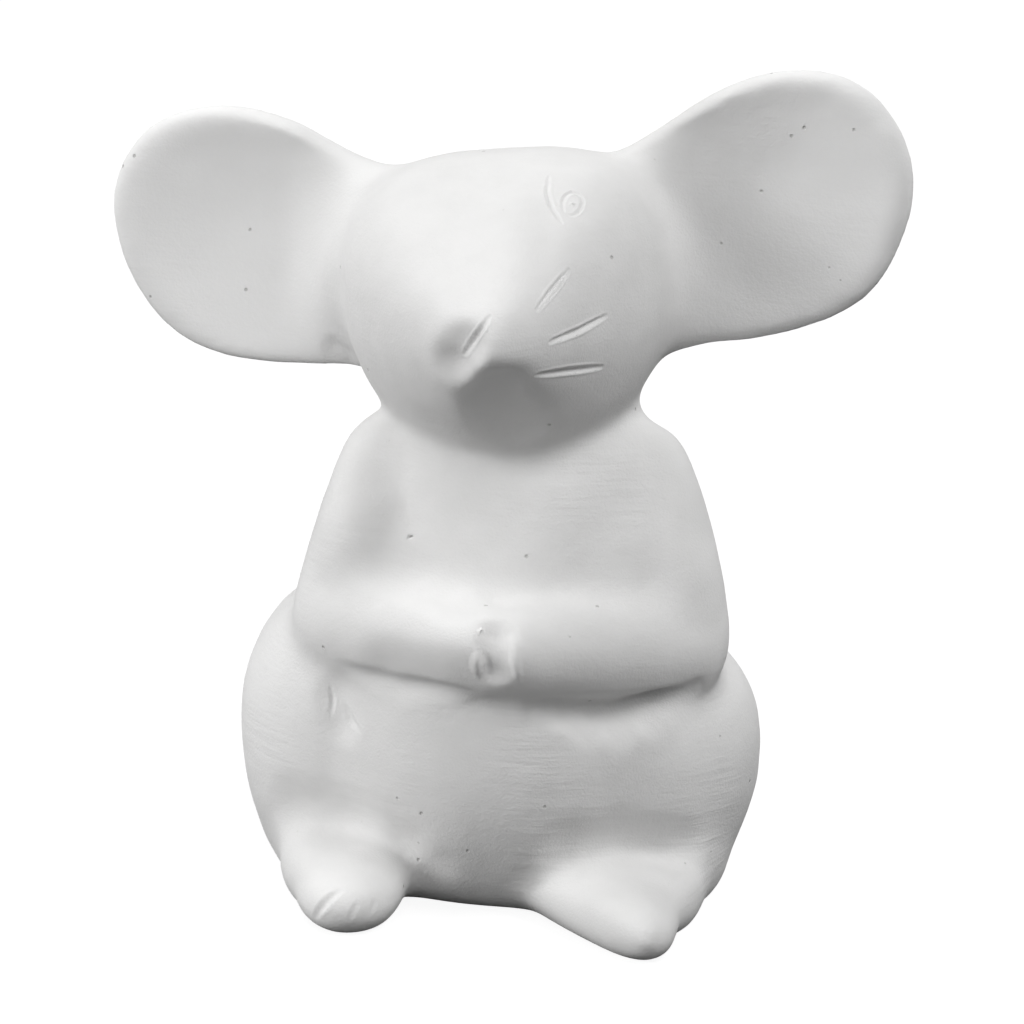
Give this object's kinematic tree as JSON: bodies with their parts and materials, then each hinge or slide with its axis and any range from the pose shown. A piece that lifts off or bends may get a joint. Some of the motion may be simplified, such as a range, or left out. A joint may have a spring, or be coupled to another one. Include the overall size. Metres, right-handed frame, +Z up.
{
  "type": "mouse figurine",
  "caption": "Seated mouse ornament in unglazed ceramic, with large round dished ears, a cocked pointed head, folded forearms and a flat base.",
  "frame": {"origin": "on the flat base, under the axis of the torso", "axes": "+Z up out of the base, the mouse faces -Y, +X towards the viewer's right"},
  "size_m": [0.0804, 0.0498, 0.0843],
  "materials": {
    "bisque": "matte, unglazed, finely porous"
  },
  "bodies": {
    "root": {"body_shell": "bisque", "head_shell": "bisque", "left_ear": "bisque", "right_ear": "bisque", "left_arm": "bisque", "right_arm": "bisque", "left_foot": "bisque", "right_foot": "bisque", "tail": "bisque"}
  },
  "joints": []
}
